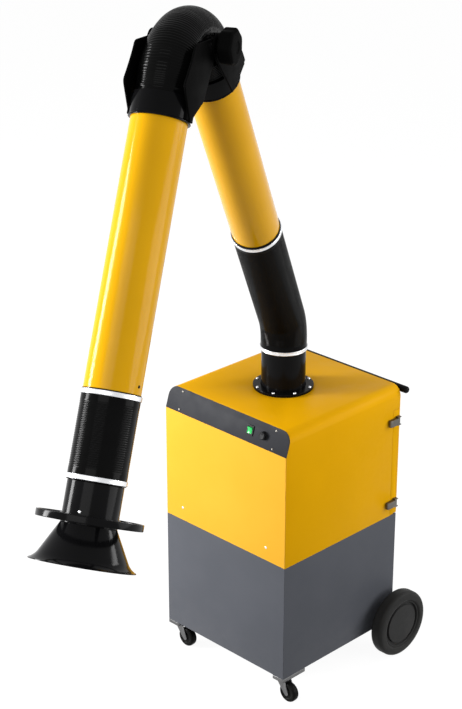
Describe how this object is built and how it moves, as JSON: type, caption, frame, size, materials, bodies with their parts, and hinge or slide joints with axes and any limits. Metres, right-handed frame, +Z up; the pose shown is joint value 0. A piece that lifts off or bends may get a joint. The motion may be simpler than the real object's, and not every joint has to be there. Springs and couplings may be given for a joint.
{
  "type": "mobile fume extractor",
  "caption": "Wheeled filter cabinet with a swivelling, elbowed extraction arm on its top: yellow tubes, ribbed black hoses and a flared hood with a ring handle.",
  "frame": {"origin": "on the floor, under the middle of the whole unit's box with the arm in the pictured pose", "axes": "+Z up, the cabinet's front faces -Y and its latched side +X"},
  "size_m": [1.2692, 2.1034, 2.6173],
  "materials": {
    "yellow_paint": "glossy yellow powder coat",
    "yellow_tube": "glossy yellow powder coat on thin aluminium tube",
    "grey_paint": "dark grey powder coat",
    "panel_paint": "dark grey satin panel",
    "black_paint": "glossy black paint",
    "black_plastic": "glossy black moulding",
    "switch_plastic": "matt black moulding",
    "green_lens": "green lit rocker",
    "rubber": "matt black rubber",
    "wheel_disc": "dark grey moulded rim",
    "hose": "glossy black coated hose",
    "zinc": "bright zinc-plated steel",
    "alloy": "plain aluminium",
    "filter_media": "pleated filter paper"
  },
  "bodies": {
    "cabinet": {"base_cabinet": "grey_paint", "deck_plate": "zinc", "upper_cabinet": "yellow_paint", "front_cover": "yellow_paint", "control_panel": "panel_paint", "switch_frame": "switch_plastic", "hinge_lower": "zinc", "hinge_upper": "zinc", "latch_keeper_lower": "zinc", "latch_keeper_upper": "zinc", "filter_cartridge": "filter_media", "spark_baffle": "zinc", "fan_housing": "zinc", "fan_motor": "alloy", "exhaust_grille": "grey_paint", "cable_gland": "switch_plastic", "push_handle": "black_paint", "rear_axle": "zinc", "castor_plate_left": "zinc", "castor_plate_right": "zinc", "base_flange": "black_paint"},
    "rocker": {"power_rocker": "green_lens"},
    "knob": {"speed_knob": "black_plastic"},
    "door": {"rear_door": "yellow_paint", "door_gasket": "rubber"},
    "latch_lower": {"latch_lever_lower": "zinc"},
    "latch_upper": {"latch_lever_upper": "zinc"},
    "impeller": {"fan_impeller": "alloy"},
    "rear_wheel_left": {"rear_rim_left": "wheel_disc", "rear_tyre_left": "rubber"},
    "rear_wheel_right": {"rear_rim_right": "wheel_disc", "rear_tyre_right": "rubber"},
    "castor_left": {"castor_fork_left": "zinc"},
    "castor_right": {"castor_fork_right": "zinc"},
    "castor_roller_left": {"castor_wheel_left": "rubber"},
    "castor_roller_right": {"castor_wheel_right": "rubber"},
    "swivel": {"swivel_collar": "black_paint", "base_bracket": "zinc", "tilt_bolt": "zinc", "base_hose": "hose", "base_clamp": "zinc"},
    "inner_arm": {"inner_strut": "alloy", "inner_tube": "yellow_tube", "inner_clamp": "zinc", "elbow_hose": "hose", "inner_fork": "black_plastic"},
    "outer_arm": {"outer_fork": "black_plastic", "friction_disc_left": "zinc", "friction_disc_right": "zinc", "elbow_pin": "black_paint", "outer_tube": "yellow_tube", "outer_clamp": "zinc", "hood_link": "alloy", "hood_hose": "hose"},
    "clamp_knob": {"elbow_knob": "black_plastic"},
    "hood": {"hood": "black_paint", "hood_ring": "black_plastic", "hood_clamp": "zinc", "hood_yoke": "alloy", "hood_pin": "zinc"}
  },
  "joints": [
    {"name": "arm_swivel", "type": "hinge", "parent": "cabinet", "child": "swivel", "pos_m": [-0.25058, 0.65478, 0], "axis": [0, 0, 1], "continuous": true},
    {"name": "base_tilt", "type": "hinge", "parent": "swivel", "child": "inner_arm", "pos_m": [-0.25058, 0.65478, 1.3135], "axis": [-0.9048, -0.4258, 0], "range_deg": [-30.5, 44.5], "deforming": ["base_hose"]},
    {"name": "elbow", "type": "hinge", "parent": "inner_arm", "child": "outer_arm", "pos_m": [0.1482, -0.19267, 2.52275], "axis": [-0.9048, -0.4258, 0], "range_deg": [-23.5, 86.5], "deforming": ["elbow_hose"]},
    {"name": "hood_tilt", "type": "hinge", "parent": "outer_arm", "child": "hood", "pos_m": [0.41609, -0.76196, 1.57043], "axis": [0.9048, 0.4258, 0], "range_deg": [-45, 45], "deforming": ["hood_hose"]},
    {"name": "elbow_knob", "type": "hinge", "parent": "outer_arm", "child": "clamp_knob", "pos_m": [0.1482, -0.19267, 2.52275], "axis": [0.9048, 0.4258, 0], "range_deg": [-180, 180]},
    {"name": "rear_door", "type": "hinge", "parent": "cabinet", "child": "door", "pos_m": [-0.55458, 0.95878, 0], "axis": [0, 0, 1], "range_deg": [0, 110]},
    {"name": "latch_lower", "type": "hinge", "parent": "door", "child": "latch_lower", "pos_m": [0.05842, 0.93878, 0.612], "axis": [0, 0, 1], "range_deg": [0, 100]},
    {"name": "latch_upper", "type": "hinge", "parent": "door", "child": "latch_upper", "pos_m": [0.05842, 0.93878, 0.945], "axis": [0, 0, 1], "range_deg": [0, 100]},
    {"name": "power_rocker", "type": "hinge", "parent": "cabinet", "child": "rocker", "pos_m": [-0.13358, 0.37399, 1.03116], "axis": [1, 0, 0], "range_deg": [-16, 0]},
    {"name": "speed_knob", "type": "hinge", "parent": "cabinet", "child": "knob", "pos_m": [-0.06758, 0.36828, 1.033], "axis": [0, -0.952, 0.306], "range_deg": [0, 270]},
    {"name": "impeller", "type": "hinge", "parent": "cabinet", "child": "impeller", "pos_m": [-0.25058, 0.65478, 0.4146], "axis": [0, 0, 1], "continuous": true},
    {"name": "rear_wheel_left", "type": "hinge", "parent": "cabinet", "child": "rear_wheel_left", "pos_m": [-0.57858, 0.92278, 0.12889], "axis": [1, 0, 0], "continuous": true},
    {"name": "rear_wheel_right", "type": "hinge", "parent": "cabinet", "child": "rear_wheel_right", "pos_m": [0.07742, 0.92278, 0.12889], "axis": [1, 0, 0], "continuous": true},
    {"name": "castor_swivel_left", "type": "hinge", "parent": "cabinet", "child": "castor_left", "pos_m": [-0.51658, 0.39278, 0], "axis": [0, 0, 1], "continuous": true},
    {"name": "castor_swivel_right", "type": "hinge", "parent": "cabinet", "child": "castor_right", "pos_m": [0.01542, 0.39278, 0], "axis": [0, 0, 1], "continuous": true},
    {"name": "castor_wheel_left", "type": "hinge", "parent": "castor_left", "child": "castor_roller_left", "pos_m": [-0.48658, 0.39278, 0.03767], "axis": [0, 1, 0], "continuous": true},
    {"name": "castor_wheel_right", "type": "hinge", "parent": "castor_right", "child": "castor_roller_right", "pos_m": [0.04542, 0.39278, 0.03767], "axis": [0, 1, 0], "continuous": true}
  ]
}
